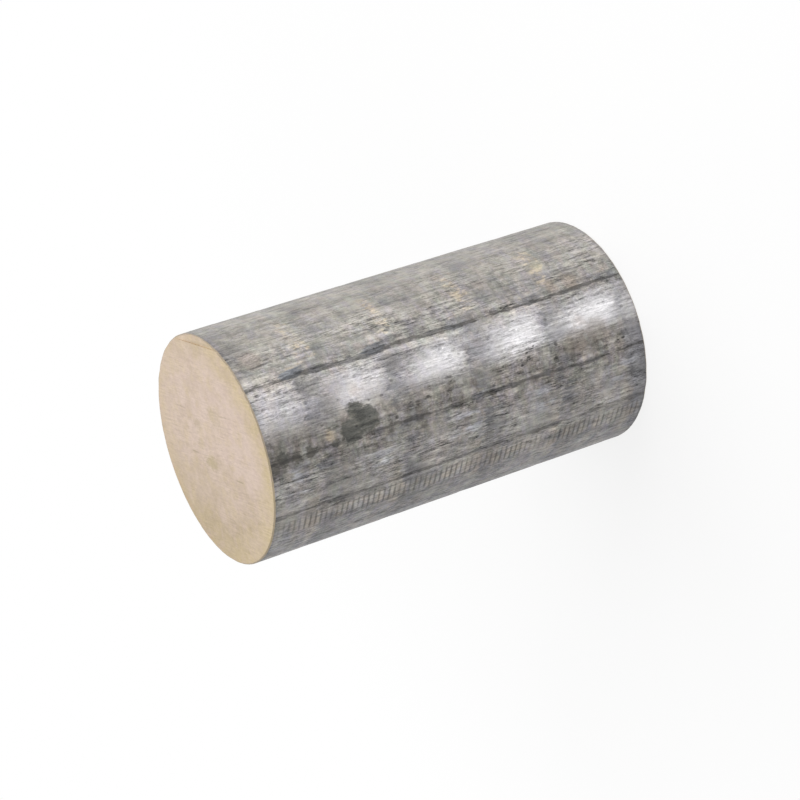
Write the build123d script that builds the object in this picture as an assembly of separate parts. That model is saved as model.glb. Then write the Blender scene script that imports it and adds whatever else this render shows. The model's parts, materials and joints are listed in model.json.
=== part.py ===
from build123d import *
import os

# A short length of round bar, continuously cast in bronze and sawn square at both ends.
# It is one piece of metal. Its barrel keeps the as-cast diameter, both sawn rims have been
# touched with a file, and one end keeps the shallow ledge where the saw broke through.
#
# The bar stands on its plain end on the plane Z = 0, with its axis along +Z and the origin
# at the middle of that end. The end with the ledge is on top. Sizes are in millimetres.

# Driving dimensions
bar_diameter = 54.0     # as-cast outside diameter
bar_length = 100.0      # over the two sawn faces
rim_break = 0.4         # 45 degree break filed on each sawn rim
ledge_width = 2.3       # of the break-out ledge, from the rim in to its straight edge
ledge_depth = 0.25      # of the ledge below the sawn face
ledge_bearing = -18.0   # degrees about +Z, from +X to the middle of the ledge

bar_radius = bar_diameter / 2


def cast_bar():
    """The barrel between its two sawn faces: half of the bar's lengthwise section, turned about Z."""
    half_section = Polyline(
        (0, 0),
        (bar_radius - rim_break, 0),
        (bar_radius, rim_break),
        (bar_radius, bar_length - rim_break),
        (bar_radius - rim_break, bar_length),
        (0, bar_length),
        close=True,
    )
    return revolve(Plane.XZ * make_face(half_section), axis=Axis.Z)


def saw_ledge():
    """What the saw took below the top face: the segment of the disc between a chord and the rim."""
    chord_offset = bar_radius - ledge_width
    segment = Box(
        2 * ledge_width,
        bar_diameter,
        ledge_depth,
        align=(Align.MIN, Align.CENTER, Align.MAX),
    )
    return Rot(0, 0, ledge_bearing) * Pos(chord_offset, 0, bar_length) * segment


round_bar = cast_bar() - saw_ledge()
round_bar.label = "round_bar"

os.makedirs("parts", exist_ok=True)
export_step(round_bar, "parts/round_bar.step")
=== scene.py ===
import json
import math

import bpy
from mathutils import Matrix, Vector


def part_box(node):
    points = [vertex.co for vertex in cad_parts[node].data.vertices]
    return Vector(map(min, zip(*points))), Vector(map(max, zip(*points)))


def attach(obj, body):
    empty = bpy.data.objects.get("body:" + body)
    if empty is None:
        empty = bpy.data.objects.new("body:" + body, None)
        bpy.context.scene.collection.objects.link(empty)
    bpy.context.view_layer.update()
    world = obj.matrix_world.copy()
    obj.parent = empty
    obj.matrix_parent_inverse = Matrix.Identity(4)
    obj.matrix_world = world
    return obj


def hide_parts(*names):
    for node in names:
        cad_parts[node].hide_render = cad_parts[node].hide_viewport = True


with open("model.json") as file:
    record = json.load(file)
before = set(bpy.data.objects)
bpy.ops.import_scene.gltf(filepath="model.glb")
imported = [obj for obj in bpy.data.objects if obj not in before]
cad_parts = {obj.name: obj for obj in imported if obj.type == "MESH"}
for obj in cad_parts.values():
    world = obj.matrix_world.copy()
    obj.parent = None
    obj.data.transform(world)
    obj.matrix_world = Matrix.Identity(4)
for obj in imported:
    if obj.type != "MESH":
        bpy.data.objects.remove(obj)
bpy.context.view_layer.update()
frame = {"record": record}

# ------------------------------------------------------------------------------------------
# Round bar: one short length of bronze, drawn stroke by stroke out of a graphite die and sawn
# square at both ends. The die leaves a grey skin with lengthwise draw lines and a ring at every
# stroke; the saw leaves bare metal, filed rims and a ledge where the last of the cut broke off.

# Sizes are in millimetres from here on. Bearings are degrees about +Z, counted from +X.
METRES = 0.001
stock = next(mount for mount in frame["record"]["mounts"] if mount["name"] == "stock_diameter")
low_corner, high_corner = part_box("round_bar")
bar_radius = stock["dims"]["r_mm"]
bar_length = (high_corner.z - low_corner.z) / METRES

rim_break = 0.3             # filed off each sawn rim
rim_wander = 0.35           # share by which the file cut more or less round the rim
ledge_width = 2.3           # of the break-out ledge, from the rim in to its straight edge
ledge_depth = 0.25
ledge_bearing = -18.0
ledge_half_angle = math.acos(1 - ledge_width / bar_radius)

nick_rows = 4               # mesh rows to each nick of the feed roll
nick_count = 73.5           # nicks over the whole length
columns = 264
rows = round(nick_rows * nick_count)
face_rings = 26
ledge_rings = 3

stroke_length = 21.2        # drawn out of the die between two rings
first_ring = 11.4           # below the ledged end
ring_lag = 8.6              # how much later the rings come on the lagging side
lag_middle = -6.0           # bearing of that side's middle, and how far it reaches to each side
lag_reach = 58.0

# Lines that the die scored along the bar: bearing, width, depth, how dark, how broken
die_lines = (
    (-68.8, 1.1, 0.07, 0.58, 0.25),
    (-105.6, 1.1, 0.07, 0.54, 0.45),
    (-110.8, 0.9, 0.04, 0.28, 0.85),
    (-116.5, 0.6, 0.03, 0.22, 0.85),
    (-123.5, 0.6, 0.03, 0.28, 0.90),
    (-133.8, 1.1, 0.05, 0.38, 0.45),
    (-163.0, 0.9, 0.04, 0.25, 0.80),
    (158.0, 1.2, 0.07, 0.50, 0.30),
    (121.0, 0.8, 0.05, 0.35, 0.80),
    (84.0, 1.2, 0.07, 0.50, 0.30),
    (33.0, 1.0, 0.05, 0.40, 0.50),
    (-8.0, 0.6, 0.04, 0.25, 1.00),
    (-45.0, 0.5, 0.03, 0.28, 0.85),
    (-58.5, 0.7, 0.04, 0.32, 0.80),
)

nick_pitch = bar_length / nick_count
nick_depth = 0.06
nick_track = 6.0            # width of the feed roll's track
nick_bearings = (-142.6, 37.4)
lens_bearing = -67.5        # of the slate that gathered on the first die line
oval_bearing = -83.0        # of the row of rubbed ovals with their painted highlight, one to each stroke
oval_middle = 15.0          # of an oval, past the ring before it
oval_half_width = 4.9
crisp_angle = 28.0          # degrees between two faces, past which their edge is left crisp

# Pits in the skin: bearing, distance below the ledged end, radius, depth
pits = (
    (-92.6, 76.6, 0.55, 0.14),
    (-95.6, 74.9, 0.40, 0.10),
    (-100.3, 75.8, 0.85, 0.24),
    (-80.0, 76.2, 0.40, 0.10),
    (172.0, 31.0, 0.80, 0.22),
    (64.0, 58.0, 0.70, 0.20),
    (96.0, 17.0, 0.55, 0.16),
)


class Field:
    """A number that changes over the surface. Arithmetic on it adds Math nodes to its tree."""

    def __init__(self, tree, socket):
        self.tree = tree
        self.socket = socket

    def maths(self, operation, *others):
        node = self.tree.nodes.new("ShaderNodeMath")
        node.operation = operation
        for entry, value in zip(node.inputs, (self, *others)):
            feed(entry, value)
        return Field(self.tree, node.outputs[0])

    def __add__(self, other):
        return self.maths("ADD", other)

    def __sub__(self, other):
        return self.maths("SUBTRACT", other)

    def __rsub__(self, other):
        return self.maths("MULTIPLY_ADD", -1.0, other)

    def __mul__(self, other):
        return self.maths("MULTIPLY", other)

    def __truediv__(self, other):
        return self.maths("DIVIDE", other)

    __radd__ = __add__
    __rmul__ = __mul__

    def size(self):
        return self.maths("ABSOLUTE")

    def ramp(self, start, end, low=0.0, high=1.0):
        """Eased from low, at start, to high, at end, and level beyond them."""
        node = self.tree.nodes.new("ShaderNodeMapRange")
        node.interpolation_type = "SMOOTHSTEP"
        for entry, value in zip(node.inputs, (self, start, end, low, high)):
            feed(entry, value)
        return Field(self.tree, node.outputs[0])


def feed(entry, value):
    """Links a field to a node's input, or sets the input to a plain value."""
    if isinstance(value, Field):
        value.tree.links.new(value.socket, entry)
    elif entry.type == "RGBA" and len(value) == 3:
        entry.default_value = (*value, 1.0)
    else:
        entry.default_value = value


def vector(x, y, z):
    tree = x.tree
    node = tree.nodes.new("ShaderNodeCombineXYZ")
    for entry, value in zip(node.inputs, (x, y, z)):
        feed(entry, value)
    return Field(tree, node.outputs[0])


def parts_of(whole):
    """The three numbers of a vector."""
    node = whole.tree.nodes.new("ShaderNodeSeparateXYZ")
    feed(node.inputs[0], whole)
    return [Field(whole.tree, output) for output in node.outputs]


def scaled(whole, factor):
    """A vector or a colour times a number."""
    node = whole.tree.nodes.new("ShaderNodeVectorMath")
    node.operation = "SCALE"
    feed(node.inputs[0], whole)
    feed(node.inputs["Scale"], factor)
    return Field(whole.tree, node.outputs[0])


def noise(place, detail=2.0, roughness=0.5):
    """Soft noise about 0.5, with one lump to each unit of place."""
    node = place.tree.nodes.new("ShaderNodeTexNoise")
    feed(node.inputs["Vector"], place)
    feed(node.inputs["Scale"], 1.0)
    feed(node.inputs["Detail"], detail)
    feed(node.inputs["Roughness"], roughness)
    return Field(place.tree, node.outputs[0])


def largest(fields):
    """The largest of several fields at each point."""
    first, *others = fields
    for field in others:
        first = first.maths("MAXIMUM", field)
    return first


def effect(inputs, outputs):
    """Turns a function of fields into a node group with these named sockets.

    The group is built once for meshes and once for materials, where each asks for it first.
    """

    def build(make, kind):
        group = bpy.data.node_groups.new(make.__name__, kind)
        for in_out, sockets in (("INPUT", inputs), ("OUTPUT", outputs)):
            for name, socket in sockets.items():
                group.interface.new_socket(name, in_out=in_out, socket_type=f"NodeSocket{socket}")
        entrance = group.nodes.new("NodeGroupInput")
        results = make(*(Field(group, entrance.outputs[name]) for name in inputs))
        way_out = group.nodes.new("NodeGroupOutput")
        for entry, result in zip(way_out.inputs, results if isinstance(results, tuple) else (results,)):
            feed(entry, result)
        return group

    def wrap(make):
        groups = {}

        def placed(*values):
            tree = values[0].tree
            kind = tree.bl_idname
            if kind not in groups:
                groups[kind] = build(make, kind)
            node = tree.nodes.new(kind.replace("Tree", "Group"))
            node.node_tree = groups[kind]
            for entry, value in zip(node.inputs, values):
                feed(entry, value)
            results = [Field(tree, node.outputs[name]) for name in outputs]
            return results[0] if len(results) == 1 else results

        return placed

    return wrap


# Marks on the bar. Each takes a place, as a vector in millimetres.

@effect(
    {
        "Place": "Vector",
        "Width": "Float",
        "Length": "Float",
        "Start": "Float",
        "Detail": "Float",
        "Roughness": "Float",
    },
    {"Noise": "Float"},
)
def grain(place, width, length, start, detail, roughness):
    """Noise drawn out along the bar."""
    x, y, z = parts_of(place)
    return noise(vector(x / width, y / width, z / length + start), detail, roughness)


@effect({"Place": "Vector", "Bearing": "Float"}, {"Distance": "Float"})
def across(place, bearing):
    """Millimetres round the bar from a bearing, at most half a turn either way."""
    x, y, _ = parts_of(place)
    turned = y.maths("ARCTAN2", x) - bearing * math.radians(1.0)
    return turned.maths("WRAP", math.pi, -math.pi) * bar_radius


@effect({"Place": "Vector", "Bearing": "Float", "Reach": "Float", "Blur": "Float"}, {"Share": "Float"})
def near(place, bearing, reach, blur):
    """1 within reach of a bearing, in degrees, and 0 past its blurred edge."""
    turned = across(place, bearing).size() / math.radians(bar_radius)
    return turned.ramp(reach - blur * 0.5, reach + blur * 0.5, 1.0, 0.0)


@effect({"Place": "Vector"}, {"Past": "Float", "Stroke": "Float", "Blunt": "Float"})
def rings(place):
    """Millimetres since the last ring, away from the ledged end, the stroke's number, and over how
    many millimetres the ring's edge is blurred."""
    below = bar_length - parts_of(place)[2]
    ragged = (grain(place, 0.7, 34.0, 3.0, 3.0, 0.7) - 0.5) * 5.0
    drift = (grain(place, 5.0, 50.0, 13.0, 1.0, 0.5) - 0.5) * 3.5
    lags = near(place, lag_middle, lag_reach, 5.0)
    start = lags * ring_lag + (ragged + drift) * (1.0 - lags * 0.5) + first_ring
    strokes = (below - start) / stroke_length
    blunt = grain(place, 2.4, 30.0, 57.0, 2.0, 0.5).ramp(0.42, 0.58, 0.3, 3.4)
    return strokes.maths("FRACT") * stroke_length, strokes.maths("FLOOR"), blunt


@effect({"Place": "Vector", "Past Ring": "Float"}, {"Wander": "Float", "Swelling": "Float"})
def scoring(place, past_ring):
    """How all the die's lines wander sideways, and how they swell up about a ring."""
    wander = (grain(place, 14.0, 15.0, 5.0, 2.0, 0.5) - 0.5) * 1.6
    frayed = (grain(place, 0.45, 2.4, 9.0, 3.0, 0.7) - 0.5) * 1.6
    about_ring = past_ring.ramp(0.0, 4.0, 1.0, 0.0).maths("MAXIMUM", past_ring.ramp(17.5, 21.0))
    uneven = grain(place, 8.0, 7.0, 1.0, 2.0, 0.6)
    return wander + frayed, uneven.ramp(0.34, 0.62) + about_ring * 0.5


@effect(
    {
        "Place": "Vector",
        "Wander": "Float",
        "Swelling": "Float",
        "Bearing": "Float",
        "Width": "Float",
        "Broken": "Float",
    },
    {"Share": "Float"},
)
def die_line(place, wander, swelling, bearing, width, broken):
    """1 along a line that the die scored, and less where it is broken."""
    half = (swelling + 0.8 - broken) * width * 0.5
    inside = half - (across(place, bearing) + wander).size()
    return inside.ramp(-0.10, 0.40)


@effect({"Place": "Vector", "Bearing": "Float"}, {"Share": "Float"})
def nick_track_at(place, bearing):
    """How hard the feed roll bit, within its track."""
    edge = (grain(place, 1.2, 1.6, 17.0, 1.0, 0.5) - 0.5) * 2.0
    inside = (across(place, bearing) + edge).size()
    bite = grain(place, 9.0, 4.5, 29.0, 2.0, 0.6).ramp(0.30, 0.60, 0.3, 1.0)
    bite = bite * parts_of(place)[2].ramp(bar_length - 10.0, bar_length - 2.0, 1.0, 0.35)
    return inside.ramp(nick_track / 2 - 1.8, nick_track / 2 + 0.2, 1.0, 0.0) * bite


@effect({"Place": "Vector"}, {"Depth": "Float"})
def nick_at(place):
    """0 on the land between two nicks of the feed roll and 1 at the bottom of a nick."""
    phase = (parts_of(place)[2] / nick_pitch).maths("FRACT") - 0.5
    return phase.size() * -2.0 + 1.0


@effect({"Place": "Vector", "Bearing": "Float", "Below": "Float", "Radius": "Float"}, {"Inside": "Float"})
def inside_spot(place, bearing, below, radius):
    """Millimetres in from the rim of a round spot, below the ledged end."""
    along = bar_length - parts_of(place)[2] - below
    aside = across(place, bearing)
    return radius - (along * along + aside * aside).maths("SQRT")


# The bar's shape. A grid is wrapped round the barrel and one is closed up over each end, and the
# three are joined into one skin, on which the die's, the rolls' and the saw's marks are then cut.

shape = bpy.data.node_groups.new("round_bar_shape", "GeometryNodeTree")
shape.interface.new_socket("Bar", in_out="OUTPUT", socket_type="NodeSocketGeometry")
shape_inputs = {
    "Radius": ("NodeSocketFloat", bar_radius),
    "Length": ("NodeSocketFloat", bar_length),
    "Rim Break": ("NodeSocketFloat", rim_break),
    "Ledge Width": ("NodeSocketFloat", ledge_width),
    "Ledge Depth": ("NodeSocketFloat", ledge_depth),
    "Ledge Bearing": ("NodeSocketFloat", ledge_bearing),
    "Columns": ("NodeSocketInt", columns),
    "Rows": ("NodeSocketInt", rows),
    "Face Rings": ("NodeSocketInt", face_rings),
    "Skin": ("NodeSocketMaterial", bpy.data.materials.new("as_cast_skin")),
    "Bare Metal": ("NodeSocketMaterial", bpy.data.materials.new("sawn_bronze")),
}
for name, (kind, value) in shape_inputs.items():
    shape.interface.new_socket(name, in_out="INPUT", socket_type=kind)
shape_in = shape.nodes.new("NodeGroupInput")
given = {name: Field(shape, shape_in.outputs[name]) for name in shape_inputs}


def add_node(kind, **inputs):
    """A node of the bar's shape, with its inputs linked or set by name."""
    node = shape.nodes.new(kind)
    for name, value in inputs.items():
        feed(node.inputs[name.replace("_", " ")], value)
    return node


def position():
    return Field(shape, shape.nodes.new("GeometryNodeInputPosition").outputs[0])


def wrapped_grid(wide, high):
    """A grid of whole steps, and the fields that count its columns and its rows."""
    node = add_node(
        "GeometryNodeMeshGrid", Size_X=wide, Size_Y=high, Vertices_X=wide + 1.0, Vertices_Y=high + 1.0
    )
    x, y, _ = parts_of(position())
    column = (x + wide * 0.5).maths("ROUND")
    row = (y + high * 0.5).maths("ROUND")
    return Field(shape, node.outputs["Mesh"]), column, row


def bearing_of(column):
    """Bearing in radians of a grid's column. The seam is at the back of the bar."""
    return column / given["Columns"] * math.tau + math.pi / 2


def break_at(bearing, start):
    """How much was filed off the rim at a bearing."""
    place = vector(bearing.maths("COSINE") * 9.0, bearing.maths("SINE") * 9.0, start)
    return given["Rim Break"] * ((noise(place, 3.0, 0.6) - 0.5) * (4 * rim_wander) + 1.0)


def shaped(mesh, bearing, radius, height, sheet):
    """The grid moved onto the bar, with its place on the bake's sheet."""
    target = vector(bearing.maths("COSINE") * radius, bearing.maths("SINE") * radius, height)
    store = add_node("GeometryNodeStoreNamedAttribute", Geometry=mesh, Name="OFBake")
    store.data_type = "FLOAT2"
    store.domain = "CORNER"
    feed([entry for entry in store.inputs if entry.name == "Value" and entry.enabled][0], sheet)
    moved = add_node(
        "GeometryNodeSetPosition",
        Geometry=Field(shape, store.outputs[0]),
        Position=scaled(target, METRES),
    )
    return Field(shape, moved.outputs[0])


sheet_scale = 1 / (math.tau * bar_radius)
disc_scale = sheet_scale * 1.15
disc_height = 0.79

# The barrel, whose faces are told apart from the ends' by a captured yes
mesh, column, row = wrapped_grid(given["Columns"], given["Rows"])
bearing = bearing_of(column)
row_height = given["Length"] / given["Rows"]
near_bottom = (row / -4.0 + 1.0).maths("MAXIMUM", 0.0)
near_top = ((row - given["Rows"]) / 4.0 + 1.0).maths("MAXIMUM", 0.0)
height = row * row_height + break_at(bearing, 0.0) * near_bottom - break_at(bearing, 20.0) * near_top
barrel_sheet = vector(column / given["Columns"], height * sheet_scale, 0.0)
barrel = shaped(mesh, bearing, given["Radius"], height, barrel_sheet)
barrel_mark = add_node("GeometryNodeCaptureAttribute", Geometry=barrel)
barrel_mark.domain = "FACE"
barrel_mark.capture_items.new("BOOLEAN", "On Barrel")
barrel_mark.inputs["On Barrel"].default_value = True
barrel = Field(shape, barrel_mark.outputs["Geometry"])
barrel_faces = Field(shape, barrel_mark.outputs["On Barrel"])


def sawn_end(is_top):
    """The grid that closes one end: the filed break, the ledge on the top end, and the sawn face."""
    rings = given["Face Rings"] + (ledge_rings + 2.0)
    mesh, column, ring = wrapped_grid(given["Columns"], rings)
    bearing = bearing_of(column)
    filed = break_at(bearing, 20.0 if is_top else 0.0)
    chord = given["Radius"] - given["Ledge Width"]
    off_ledge = (bearing - given["Ledge Bearing"] * math.radians(1.0)).maths("COSINE")
    reach = chord / off_ledge.maths("MAXIMUM", 0.01)
    face_edge = given["Radius"] - filed
    has_ledge = reach.maths("LESS_THAN", face_edge) if is_top else reach * 0.0
    taper = (off_ledge.maths("ARCCOSINE") / ledge_half_angle).maths("POWER", 2.0) * -0.75 + 1.0
    drop = given["Ledge Depth"] * taper * has_ledge
    rim = face_edge + drop
    inner = reach * has_ledge + rim * (1.0 - has_ledge)
    over_ledge = ((ring - 1.0) / ledge_rings).maths("MAXIMUM", 0.0).maths("MINIMUM", 1.0)
    over_face = ((ring - (ledge_rings + 2.0)) / given["Face Rings"]).maths("MAXIMUM", 0.0)
    on_rim = ring.maths("LESS_THAN", 0.5)
    radius = (rim + (inner - rim) * over_ledge) * (1.0 - over_face)
    radius = radius + (given["Radius"] - radius) * on_rim
    below = drop * ring.maths("LESS_THAN", ledge_rings + 1.5)
    below = below + (filed - below) * on_rim
    height = given["Length"] - below if is_top else below
    reach_on_sheet = (radius + below) * disc_scale
    middle = 0.22 if is_top else 0.66
    sheet = vector(
        bearing.maths("COSINE") * reach_on_sheet + middle,
        bearing.maths("SINE") * reach_on_sheet * (1.0 if is_top else -1.0) + disc_height,
        0.0,
    )
    end = shaped(mesh, bearing, radius, height, sheet)
    if is_top:
        return end
    return Field(shape, add_node("GeometryNodeFlipFaces", Mesh=end).outputs[0])


join = shape.nodes.new("GeometryNodeJoinGeometry")
for part in (sawn_end(True), sawn_end(False), barrel):
    shape.links.new(part.socket, join.inputs[0])
seam_gap = 0.004 * METRES
joined = Field(shape, join.outputs[0])
closed = add_node("GeometryNodeMergeByDistance", Geometry=joined, Distance=seam_gap)

# The marks cut into the closed skin
place = scaled(position(), 1 / METRES)
x, y, z = parts_of(place)
radius = (x * x + y * y).maths("SQRT")
on_barrel = radius.ramp(bar_radius - 0.02, bar_radius - 0.01)
past_ring, _, _ = rings(place)
cut = past_ring.ramp(0.0, 6.0, 0.045, 0.0) + grain(place, 1.1, 5.0, 0.0, 2.0, 0.5) * 0.08
wander, swelling = scoring(place, past_ring)
for bearing, width, depth, _, broken in die_lines:
    cut = cut + die_line(place, wander, swelling, bearing, width, broken) * depth
nick = nick_at(place)
for bearing in nick_bearings:
    cut = cut + nick_track_at(place, bearing) * nick * nick_depth
for bearing, below, pit_radius, depth in pits:
    cut = cut + inside_spot(place, bearing, below, pit_radius).ramp(-0.2, 0.5) * depth
inward = (cut * on_barrel) / radius.maths("MAXIMUM", 1.0) * -METRES

saw_angle = math.radians(ledge_bearing)
on_face = radius.ramp(bar_radius - 1.2, bar_radius - 0.7, 1.0, 0.0)
across_cut = x * math.cos(saw_angle) + y * math.sin(saw_angle)
along_cut = y * math.cos(saw_angle) - x * math.sin(saw_angle)
wave = noise(vector(across_cut / 2.2, along_cut / 40.0, z), 2.0, 0.6) * 0.03
is_top_half = z.maths("GREATER_THAN", bar_length / 2)
sink = wave * on_face * (1.0 - is_top_half * 2.0) * METRES

offset = vector(x * inward, y * inward, sink)
marked = add_node("GeometryNodeSetPosition", Geometry=Field(shape, closed.outputs[0]), Offset=offset)

# Smooth all over, with the rims and the ledge left crisp
edge_angle = Field(shape, shape.nodes.new("GeometryNodeInputMeshEdgeAngle").outputs[0])
smooth = add_node("GeometryNodeSetShadeSmooth", Geometry=Field(shape, marked.outputs[0]))
crisp = add_node(
    "GeometryNodeSetShadeSmooth",
    Geometry=Field(shape, smooth.outputs[0]),
    Selection=edge_angle.maths("GREATER_THAN", math.radians(crisp_angle)),
    Shade_Smooth=False,
)
crisp.domain = "EDGE"
real = add_node("GeometryNodeRealizeInstances", Geometry=Field(shape, crisp.outputs[0]))
sawn_all = add_node(
    "GeometryNodeSetMaterial", Geometry=Field(shape, real.outputs[0]), Material=given["Bare Metal"]
)
skinned = add_node(
    "GeometryNodeSetMaterial",
    Geometry=Field(shape, sawn_all.outputs[0]),
    Selection=barrel_faces,
    Material=given["Skin"],
)
shape_out = shape.nodes.new("NodeGroupOutput")
shape.links.new(skinned.outputs[0], shape_out.inputs[0])

blank = bpy.data.meshes.new("round_bar_blank")
bar = bpy.data.objects.new("cast_round_bar", blank)
bpy.context.scene.collection.objects.link(bar)
maker = bar.modifiers.new("shape", "NODES")
maker.node_group = shape
for item in shape.interface.items_tree:
    if item.in_out == "INPUT":
        maker[item.identifier] = shape_inputs[item.name][1]
depsgraph = bpy.context.evaluated_depsgraph_get()
bar_mesh = bpy.data.meshes.new_from_object(bar.evaluated_get(depsgraph), depsgraph=depsgraph)
bar.modifiers.clear()
bar.data = bar_mesh
bar_mesh.name = "cast_round_bar"


def principled(material):
    """The material's Principled shader, and the place on the bar in millimetres."""
    material.use_nodes = True
    tree = material.node_tree
    coordinates = tree.nodes.new("ShaderNodeTexCoord")
    place = scaled(Field(tree, coordinates.outputs["Object"]), 1 / METRES)
    return tree.nodes["Principled BSDF"], place


def tinted(share, colour, tint):
    """Goes from a colour to a tint as share goes from 0 to 1."""
    node = share.tree.nodes.new("ShaderNodeMix")
    node.data_type = "RGBA"
    feed(node.inputs[0], share)
    feed(node.inputs[6], colour)
    feed(node.inputs[7], tint)
    return Field(share.tree, node.outputs[2])


def bump(height):
    """A normal bent by a height in millimetres."""
    node = height.tree.nodes.new("ShaderNodeBump")
    feed(node.inputs["Distance"], METRES)
    feed(node.inputs["Height"], height)
    return Field(height.tree, node.outputs[0])


@effect(
    {
        "Across": "Float",
        "Along": "Float",
        "Level": "Float",
        "Spacing": "Float",
        "Run": "Float",
        "Strength": "Float",
    },
    {"Tone": "Float", "Height": "Float"},
)
def tool_lines(across_lines, along_lines, level, spacing, run, strength):
    """Fine scratches side by side, in bundles, as a die or a saw leaves them. Tone is about 0."""
    line = noise(vector(across_lines / spacing, level / spacing, along_lines / run), 3.0, 0.7)
    bundle = noise(vector(across_lines / 3.5, level / 3.5, along_lines / 14.0), 2.0, 0.5)
    tone = (line - 0.5) * bundle.ramp(0.35, 0.65, 0.5, 1.5)
    return tone * strength, line


@effect(
    {
        "Place": "Vector",
        "Size": "Float",
        "Strength": "Float",
        "Clean": "Color",
        "Warm": "Color",
        "Cool": "Color",
    },
    {"Color": "Color"},
)
def tarnish(place, size, strength, clean, warm, cool):
    """Soft clouds of a warm and a cool tint over the metal's own colour."""
    x, y, z = parts_of(place)
    warm_cloud = noise(vector(x / size, y / size, z / size), 3.0, 0.65).ramp(0.46, 0.66)
    cool_cloud = noise(vector(y / size, x / size, z / size + 40.0), 3.0, 0.65).ramp(0.46, 0.66)
    return tinted(cool_cloud * strength, tinted(warm_cloud * strength, clean, warm), cool)


@effect(
    {"Place": "Vector", "Spacing": "Float", "Stretch": "Float", "Size": "Float"},
    {"Share": "Float"},
)
def pores(place, spacing, stretch, size):
    """Small dark pores scattered over the metal, longer along the bar, of many sizes."""
    x, y, z = parts_of(place)
    cells = place.tree.nodes.new("ShaderNodeTexVoronoi")
    feed(cells.inputs["Vector"], vector(x / spacing, y / spacing, z / (spacing * stretch)))
    feed(cells.inputs["Scale"], 1.0)
    away = Field(place.tree, cells.outputs["Distance"])
    share_of_size = parts_of(Field(place.tree, cells.outputs["Color"]))[0].ramp(0.45, 1.0)
    rim = size / spacing * share_of_size
    return (rim - away).ramp(-0.06, 0.10) * share_of_size.ramp(0.0, 0.4)


# As-cast skin: grey oxide and graphite drawn out lengthwise, darker behind each ring
surface, place = principled(bar_mesh.materials["as_cast_skin"])
x, y, z = parts_of(place)
below = bar_length - z

pale_grey = (0.33, 0.31, 0.28)
dull_grey = (0.21, 0.20, 0.18)
lavender_grey_and_highlight = (0.29, 0.28, 0.30)
taupe = (0.18, 0.17, 0.16)
brown_grey = (0.10, 0.09, 0.08)
stone_grey = (0.29, 0.28, 0.27)
slate_grey = (0.18, 0.18, 0.20)

# Seeded streaks of pale and dull grey all round the bar
drift = (grain(place, 2.5, 12.0, 71.0, 3.0, 0.6) - 0.5) * 6.0
colour = tinted(grain(place, 4.0, 80.0, 87.0, 2.0, 0.5).ramp(0.36, 0.64), dull_grey, pale_grey)

# Broad belts over them: bearing, half width, blur of each edge, grey. The slate belt at -160 makes the
# side away from the key light darker
belts = (
    (-65.0, 3.6, 4.0, taupe),
    # Lavender belt on the highlight line: its lighter grey is partly skin and partly a painted highlight
    (-82.0, 4.5, 4.0, lavender_grey_and_highlight),
    (-104.0, 5.0, 4.5, brown_grey),
    (-132.0, 7.5, 5.0, stone_grey),
    (-160.0, 7.5, 7.0, slate_grey),
    (84.0, 6.0, 6.0, taupe),
    (154.0, 5.0, 6.0, taupe),
)
for bearing, half_width, blur, grey in belts:
    aside = (across(place, bearing) + drift).size()
    colour = tinted(aside.ramp(half_width - blur / 2, half_width + blur / 2, 1.0, 0.0), colour, grey)

rubbed_metal_and_highlight = (0.66, 0.65, 0.66)
blue_grey = (0.235, 0.238, 0.262)
line_brown = (0.185, 0.170, 0.155)
gold = (0.56, 0.46, 0.32)
umber = (0.170, 0.143, 0.120)
tan_brown = (0.245, 0.200, 0.172)
rust = (0.255, 0.205, 0.158)
straw = (0.400, 0.380, 0.270)
char = (0.085, 0.073, 0.062)
soot = (0.060, 0.061, 0.054)
oil_brown = (0.112, 0.105, 0.086)
olive = (0.31, 0.31, 0.25)
rose = (0.360, 0.312, 0.288)
sand = (0.350, 0.332, 0.290)
lilac = (0.29, 0.275, 0.315)
tan = (0.345, 0.298, 0.248)
green_grey = (0.250, 0.270, 0.238)
violet_grey = (0.280, 0.262, 0.305)
pale_blue = (0.35, 0.358, 0.405)
slate = (0.140, 0.150, 0.168)

past_ring, stroke, blunt = rings(place)
to_ring = past_ring * -1.0 + stroke_length
lags = near(place, lag_middle, lag_reach, 12.0)
plate_place = vector(x / 2.8, y / 2.8, stroke * 5.3 + z / 40.0)
plates = noise(plate_place, 2.0, 0.6).ramp(0.38, 0.64)
after_edge = past_ring.ramp(0.0, blunt) * below.ramp(95.0, 97.0, 1.0, 0.3)
behind_ring = past_ring.ramp(0.0, plates * 6.5 + 2.5, 1.0, 0.0) * (plates * 0.8 + 0.2) * after_edge
dull_band = past_ring.ramp(2.0, 11.0, 1.0, 0.0) * after_edge
last_of_stroke = past_ring.ramp(11.0, 17.0) * to_ring.ramp(0.2, blunt + 0.2)
about_ring = past_ring.ramp(1.0, 5.0, 1.0, 0.0).maths("MAXIMUM", past_ring.ramp(16.0, 21.0))

# Clouds of tarnish, weaker on the highlight line so that its painted highlight stays pale, and blue-black
# graphite behind each ring
clouds = 1.0 - near(place, -88.0, 13.0, 8.0) * 0.35
colour = tarnish(place, 2.6, clouds * 0.40, colour, rose, olive)
colour = tarnish(scaled(place, 1.7), 2.6, clouds * 0.35, colour, sand, lilac)
colour = tarnish(vector(x / 2.4, y / 2.4, z), 2.6, clouds * 0.46, colour, rose, green_grey)
colour = tarnish(vector(y / 2.2, x / 2.2, z), 2.4, clouds * 0.40, colour, violet_grey, sand)
colour = tinted(behind_ring * (0.6 - lags * 0.3), colour, blue_grey)

# Gold where the skin is rubbed thin just before a lagging ring
gold_patch = grain(place, 1.6, 3.0, 51.0, 4.0, 0.7).ramp(0.46, 0.62)
gold_share = past_ring.ramp(15.5, 18.0) * to_ring.ramp(0.2, blunt + 0.2) * gold_patch
colour = tinted(gold_share * near(place, -50.0, 14.0, 8.0) * 0.5, colour, gold)

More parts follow.
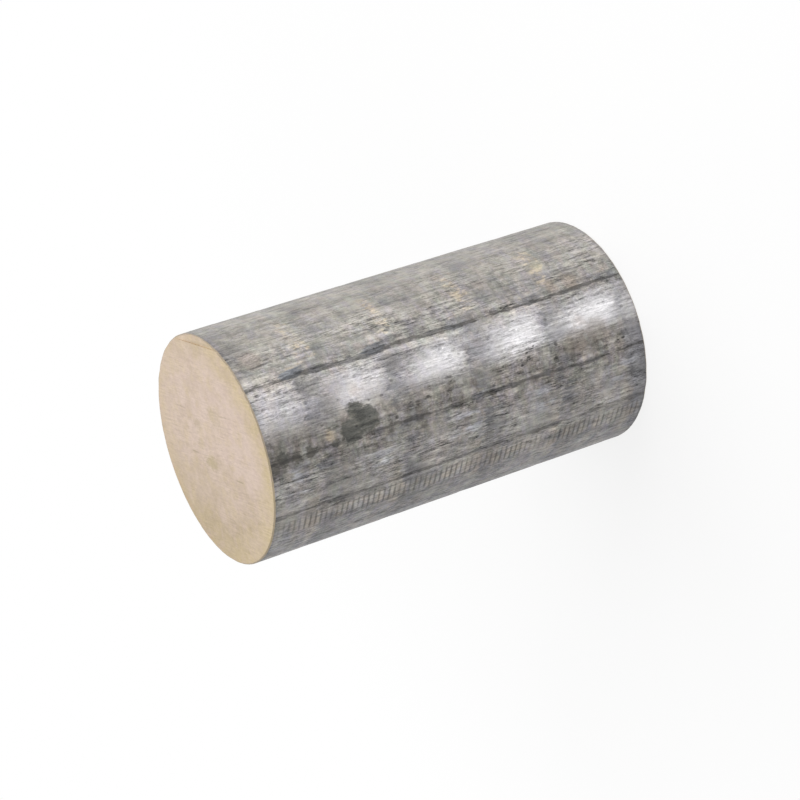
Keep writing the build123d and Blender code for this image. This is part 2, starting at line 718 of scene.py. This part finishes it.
# Draw lines, torn flakes and pores
line_tone, line_height = tool_lines(x, z, y, 0.26, 2.4, 2.3)
streak = grain(place, 1.0, 22.0, 77.0, 3.0, 0.62)
flakes = grain(place, 0.6, 1.9, 23.0, 4.0, 0.75)
speckle = grain(place, 0.42, 0.5, 19.0, 3.0, 0.7)
torn = grain(place, 1.9, 4.5, 45.0, 4.0, 0.7)
patches = grain(place, 2.2, 7.0, 63.0, 2.0, 0.5)
bands = grain(place, 4.6, 2.8, 101.0, 3.0, 0.65)
pore = pores(place, 1.15, 1.8, 0.34)
busy = grain(place, 5.0, 9.0, 31.0, 2.0, 0.5).ramp(0.35, 0.6, 0.6, 1.2)
calm = near(place, -10.0, 34.0, 30.0)
busy = busy * (1.0 - calm * 0.45)
# The grain is calmer along the row of rubbed ovals, under their painted highlight
rubbed_and_highlight_side = near(place, oval_bearing, 7.0, 9.0)
lower_side = near(place, -125.0, 24.0, 14.0)
nick_share = largest(nick_track_at(place, bearing) for bearing in nick_bearings)
busy = busy * (1.0 - nick_share * 0.45)

tone = (line_tone + (flakes - 0.5) * 1.8 + (speckle - 0.5) * 1.1) * (1.0 - rubbed_and_highlight_side * 0.25)
tone = tone + (torn - 0.5) + (streak - 0.5) * (1.75 - rubbed_and_highlight_side * 0.5)
tone = tone + (patches - 0.5) * lower_side * 1.1
tone = tone * busy + (bands - 0.5) * (0.8 - rubbed_and_highlight_side * 0.5) + 1.04
tone = tone * (1.0 - behind_ring * (0.18 - lags * 0.07))
tone = tone * (1.06 - dull_band * (0.22 - lags * 0.10))
tone = tone * (1.0 - to_ring.ramp(0.0, 6.0, 1.0, 0.0) * lower_side * 0.09)
tone = tone * (1.0 - pore * busy * (near(place, -94.0, 9.0, 8.0) * 0.45 + 0.2))
# Painted shade: the highlight line darker towards the ledged end, so that its painted highlight grows
# towards the plain end
tone = tone * (1.0 - near(place, -88.0, 14.0, 8.0) * below.ramp(4.0, 26.0, 0.17, 0.0))
tone = tone * (bar_length / 2 - (z - bar_length / 2).size()).ramp(0.3, 1.3, 0.82, 1.0)

# Below the second die line, pale blue plates before each ring and slate patches behind it
blue_plate = last_of_stroke * near(place, -117.0, 7.0, 6.0) * patches.ramp(0.46, 0.58)
colour = tinted(blue_plate * 0.5, colour, pale_blue)
slate_patch = behind_ring * near(place, -118.0, 5.0, 5.0)
slate_patch = slate_patch.maths("MAXIMUM", near(place, -122.0, 28.0, 8.0) * below.ramp(93.5, 96.0))
colour = tinted(slate_patch * 0.6, colour, blue_grey)
tone = tone * (1.0 - slate_patch * 0.16)
tan_band = to_ring.ramp(0.4, 4.5, 1.0, 0.0) * near(place, -142.0, 17.0, 8.0) * patches.ramp(0.36, 0.56)
colour = tinted(tan_band * 0.5, colour, tan)

# Oval places rubbed smooth down to barer metal, with a painted highlight in their colour that grows
# towards the plain end
past_middle = past_ring - oval_middle
oval_along = past_middle / below.ramp(20.0, 80.0, 8.6, 14.5)
oval_aside = (across(place, oval_bearing) - past_middle * 0.12) / oval_half_width
oval = (oval_along * oval_along + oval_aside * oval_aside).maths("SQRT") + (torn - 0.5) * 1.3
rubbed_and_highlight = oval.ramp(0.1, 1.25, 1.0, 0.0) * to_ring.ramp(0.1, blunt * 1.2 + 0.8, 0.2, 1.0)
# Painted highlight: the ovals' pale tint grows from the ledged end to the plain end
rubbed_and_highlight = rubbed_and_highlight * below.ramp(0.0, 85.0, 0.2, 1.0)
colour = tinted(rubbed_and_highlight * 0.8, colour, rubbed_metal_and_highlight)

# The leading rings go on as faint pale lines across the lagging side
early = (((below + (torn - 0.5) * 2.0 - first_ring) / stroke_length).maths("FRACT") - 0.5) * stroke_length
pale_ring = early.size().ramp(stroke_length / 2 - 0.5, stroke_length / 2 - 0.1)
tone = tone * (pale_ring * lags * patches.ramp(0.42, 0.55) * 0.10 + 1.0)

wander, swelling = scoring(place, past_ring)
line_share = largest(
    die_line(place, wander, swelling, bearing, width, broken) * dark
    for bearing, width, _, dark, broken in die_lines
)
line_colour = tinted(swelling.ramp(0.7, 1.2), line_brown, blue_grey)
colour = tinted(line_share * 0.8, colour, line_colour)
tone = tone * (1.0 - line_share * 0.95)

# Slate that gathered on the first die line about each ring
lens_edge = about_ring * 2.1 - (across(place, lens_bearing) + wander).size() - 0.7
lens = (lens_edge + (torn - 0.5) * 2.0).ramp(-0.1, 0.4)
colour = tinted(lens * below.ramp(20.0, 50.0, 0.85, 0.35), colour, slate)

nick_edge = (grain(place, 2.6, 0.8, 91.0, 1.0, 0.5) - 0.5) * 0.3
nick_tone = (nick_at(place) + nick_edge).ramp(0.42, 0.86, 1.16, 0.56)
tone = tone * ((nick_tone - 1.0) * nick_share + 1.0)
nick_tan = nick_share * grain(place, 3.0, 2.0, 83.0, 2.0, 0.6).ramp(0.45, 0.62)
colour = tinted(nick_tan * 0.6, colour, tan)

# Stains of burnt oil, each of a few lobes: bearing, distance below the ledged end, radius
stain_lobes = (
    (-93.3, 23.3, 2.3),
    (-98.5, 25.4, 3.2),
    (-101.5, 21.4, 3.0),
    (-105.0, 16.6, 1.1),
    (-105.0, 10.6, 1.5),
    (-106.0, 6.8, 1.4),
    (-104.5, 3.6, 1.8),
    (-107.5, 1.0, 1.6),
    (58.0, 71.0, 2.3),
    (53.5, 73.2, 1.5),
    (55.0, 76.4, 1.2),
)
stain_edge = (grain(place, 0.9, 1.3, 7.0, 5.0, 0.72) - 0.5) * 3.4
inside_stain = largest(inside_spot(place, *lobe) for lobe in stain_lobes) + stain_edge
stain = inside_stain.ramp(-0.3, 0.6)
colour = tinted(stain * 0.92, colour, tinted(torn.ramp(0.44, 0.74), soot, oil_brown))

# Spots of gold, char, brown and rose: bearing, distance below the ledged end, radius, colour
spots = (
    (-101.0, 15.8, 1.3, gold),
    (-106.5, 1.5, 2.6, char),
    (-106.0, 6.0, 1.9, char),
    (-105.5, 10.5, 1.5, char),
    (-74.5, 14.5, 3.2, taupe),
    (-77.0, 35.5, 2.6, taupe),
    (-87.0, 18.0, 2.8, taupe),
    (-84.0, 24.5, 1.6, rose),
    (-83.5, 26.6, 0.6, umber),
    (-95.0, 82.0, 3.4, umber),
    (-92.0, 88.0, 3.2, umber),
    (-85.5, 84.5, 1.6, rose),
    (-64.5, 86.5, 2.4, rust),
    (-64.0, 81.5, 1.8, rust),
    (-50.0, 81.8, 1.7, straw),
    (-48.0, 2.5, 4.0, taupe),
    (-54.0, 5.5, 3.0, tan_brown),
    (140.0, 44.0, 1.8, umber),
    (22.0, 38.0, 1.4, gold),
    (110.0, 80.0, 1.6, rose),
)
for bearing, spot_below, spot_radius, tint in spots:
    inside = inside_spot(place, bearing, spot_below, spot_radius) + stain_edge
    colour = tinted(inside.ramp(-0.8, 1.4) * 0.5, colour, tint)

pit = largest(inside_spot(place, bearing, pit_below, radius) for bearing, pit_below, radius, _ in pits)
tone = tone * (1.0 - (pit + stain_edge * 0.3).ramp(-0.15, 0.35) * 0.55)

feed(surface.inputs["Base Color"], scaled(colour, tone))
feed(surface.inputs["Metallic"], 0.5 + rubbed_and_highlight * 0.45 - stain * 0.4)
feed(surface.inputs["Roughness"], flakes.ramp(0.3, 0.7, 0.56, 0.42) - rubbed_and_highlight * 0.08 + stain * 0.15)
feed(surface.inputs["Normal"], bump(line_height * 0.04 + flakes * 0.10 - pore * 0.05))

# Sawn bronze: bare metal with fine lines left by the saw
surface, place = principled(bar_mesh.materials["sawn_bronze"])
x, y, z = parts_of(place)
radius = (x * x + y * y).maths("SQRT")
across_cut = x * math.cos(saw_angle) + y * math.sin(saw_angle)
along_cut = y * math.cos(saw_angle) - x * math.sin(saw_angle)

sawn_pink = (0.600, 0.483, 0.407)
sawn_gold = (0.545, 0.440, 0.270)
sawn_tan = (0.415, 0.328, 0.208)
sawn_olive = (0.430, 0.355, 0.205)
sawn_rose = (0.550, 0.430, 0.370)
sawn_orange = (0.520, 0.330, 0.200)
rim_brown = (0.210, 0.175, 0.135)

saw_tone, saw_height = tool_lines(across_cut, along_cut, z, 0.34, 5.0, 0.45)
mottle = noise(vector(across_cut / 0.9, along_cut / 1.7, z), 4.0, 0.7)
drift = (noise(vector(x / 6.0, y / 6.0, z), 3.0, 0.6) - 0.5) * 24.0
# Darker and tanner towards bearing 144: partly the metal's own tan, partly painted shade on that side of
# the face
tan_and_shaded_side = y * 0.59 - x * 0.81 + drift
colour = tinted(tan_and_shaded_side.ramp(-2.0, 30.0), sawn_pink, sawn_tan)
gold_side = near(place, -110.0, 80.0, 60.0) * 0.6 + 0.4
gold_rim = (radius + drift * 0.2).ramp(bar_radius * 0.66, bar_radius * 0.98) * gold_side
colour = tinted(gold_rim, colour, sawn_gold)
near_rim = radius.ramp(bar_radius - 3.0, bar_radius - 0.6)
specks = mottle.ramp(0.50, 0.64) * near_rim * near(place, 100.0, 45.0, 40.0)
colour = tinted(specks * 0.6, colour, sawn_orange)
colour = tarnish(place, 8.0, 0.34, colour, sawn_pink, sawn_tan)
colour = tarnish(scaled(place, 2.0), 6.5, 0.36, colour, sawn_gold, sawn_rose)

# Marks of the blade: place along and across the cut, length and width, and how much olive or dark
blade_marks = (
    (2.7, -3.7, 3.4, 1.9, 0.55, 0.03),
    (6.4, 0.4, 2.0, 1.2, 0.25, 0.02),
    (6.5, 5.0, 2.2, 1.4, 0.28, 0.03),
    (-3.0, 8.0, 3.4, 3.0, 0.25, 0.02),
    (10.6, -2.3, 1.9, 0.22, 0.3, 0.22),
    (-10.4, -5.7, 2.2, 0.24, 0.3, 0.22),
    (-8.0, 9.0, 3.0, 0.2, 0.2, 0.12),
    (14.0, 8.0, 2.4, 0.2, 0.2, 0.12),
)
tone = saw_tone + (mottle - 0.5) * 0.42 + 1.0
for mark_along, mark_across, length, width, olive_share, dark in blade_marks:
    off_along = (along_cut - mark_along) / length
    off_across = (across_cut - mark_across) / width
    off = (off_along * off_along + off_across * off_across).maths("SQRT")
    mark = (off + (mottle - 0.5) * 1.2).ramp(0.5, 1.2, 1.0, 0.0)
    colour = tinted(mark * olive_share, colour, sawn_olive)
    tone = tone * (1.0 - mark * dark)

on_break = (radius + (mottle - 0.5) * 0.6).ramp(bar_radius - 0.5, bar_radius - 0.2)
colour = tinted(on_break * (near(place, -72.0, 35.0, 40.0) * 0.4 + 0.45), colour, rim_brown)
feed(surface.inputs["Base Color"], scaled(colour, tone))
feed(surface.inputs["Metallic"], on_break.ramp(0.0, 1.0, 0.8, 0.45))
feed(surface.inputs["Roughness"], mottle.ramp(0.3, 0.7, 0.52, 0.40))
feed(surface.inputs["Normal"], bump(saw_height * 0.02 + mottle * 0.03))

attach(bar, "root")
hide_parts("round_bar")

# ------------------------------------------------------------------------------------------
# Studio: a plain white table and soft lights. The camera looks down at the bar's side from the
# ledged end and is rolled over, so that the standing bar lies across its picture.


def shows_background(tree):
    """1 for a ray that shows the background as it is: seen by the camera, mirrored or through glass."""
    path = tree.nodes.new("ShaderNodeLightPath")
    rays = [Field(tree, path.outputs[f"Is {kind} Ray"]) for kind in ("Camera", "Glossy", "Transmission")]
    return (rays[0] + rays[1] + rays[2]).maths("MINIMUM", 1.0)


table_size = 6.0
table_mesh = bpy.data.meshes.new("table")
half = table_size / 2
table_corners = [(-half, -half, 0.0), (half, -half, 0.0), (half, half, 0.0), (-half, half, 0.0)]
table_mesh.from_pydata(table_corners, [], [(0, 1, 2, 3)])
table = bpy.data.objects.new("table", table_mesh)
bpy.context.scene.collection.objects.link(table)

white_table = bpy.data.materials.new("white_table")
white_table.use_nodes = True
table_mesh.materials.append(white_table)
tree = white_table.node_tree
cloth = tree.nodes["Principled BSDF"]
background_share = shows_background(tree)
feed(cloth.inputs["Base Color"], tinted(background_share, (0.5, 0.5, 0.5), (1.0, 1.0, 1.0)))
feed(cloth.inputs["Roughness"], 1.0)
feed(cloth.inputs["Specular IOR Level"], 0.0)
glow = tree.nodes.new("ShaderNodeEmission")
feed(glow.inputs["Color"], (1.0, 1.0, 1.0, 1.0))
feed(glow.inputs["Strength"], 1.0)
coordinates = tree.nodes.new("ShaderNodeTexCoord")
length = tree.nodes.new("ShaderNodeVectorMath")
length.operation = "LENGTH"
tree.links.new(coordinates.outputs["Object"], length.inputs[0])
away = Field(tree, length.outputs["Value"])
mixer = tree.nodes.new("ShaderNodeMixShader")
feed(mixer.inputs[0], background_share * away.ramp(0.05, 0.22, 0.82, 1.0))
tree.links.new(cloth.outputs[0], mixer.inputs[1])
tree.links.new(glow.outputs[0], mixer.inputs[2])
tree.links.new(mixer.outputs[0], tree.nodes["Material Output"].inputs["Surface"])

world = bpy.data.worlds.new("studio")
bpy.context.scene.world = world
world.use_nodes = True
tree = world.node_tree
background = tree.nodes["Background"]
ambient = 0.42
feed(background.inputs["Color"], (1.0, 1.0, 1.0, 1.0))
feed(background.inputs["Strength"], shows_background(tree) * (1.0 - ambient) + ambient)


def soft_light(name, place, size, power, aim=(0.0, 0.0, 0.05)):
    """A square softbox at a place, turned to face the bar."""
    lamp = bpy.data.lights.new(name, "AREA")
    lamp.shape = "SQUARE"
    lamp.size = size
    lamp.energy = power
    box = bpy.data.objects.new(name, lamp)
    towards = Vector(aim) - Vector(place)
    box.matrix_world = Matrix.Translation(place) @ towards.to_track_quat("-Z", "Y").to_matrix().to_4x4()
    bpy.context.scene.collection.objects.link(box)


soft_light("overhead", (0.16, 0.06, 0.55), 0.35, 1.4)
soft_light("key", (0.75, -0.50, 0.22), 0.45, 4.5)
soft_light("front", (0.16, -0.60, 0.03), 0.12, 1.8)

view_elevation = math.radians(26.9)
view_roll = math.radians(-108.2)
view_distance = 0.616
turn = Matrix.Rotation(math.pi / 2 - view_elevation, 4, "X") @ Matrix.Rotation(view_roll, 4, "Z")
off_axis = turn.to_3x3() @ Vector((0.0009, 0.0028, -view_distance))
camera = bpy.data.objects.new("camera", bpy.data.cameras.new("camera"))
camera.data.lens = 119.5
camera.data.sensor_width = 36.0
camera.data.clip_start = 0.01
camera.matrix_world = Matrix.Translation(Vector((0.0, 0.0, 0.05)) - off_axis) @ turn
bpy.context.scene.collection.objects.link(camera)
bpy.context.scene.camera = camera
bpy.context.scene.view_settings.view_transform = "Standard"
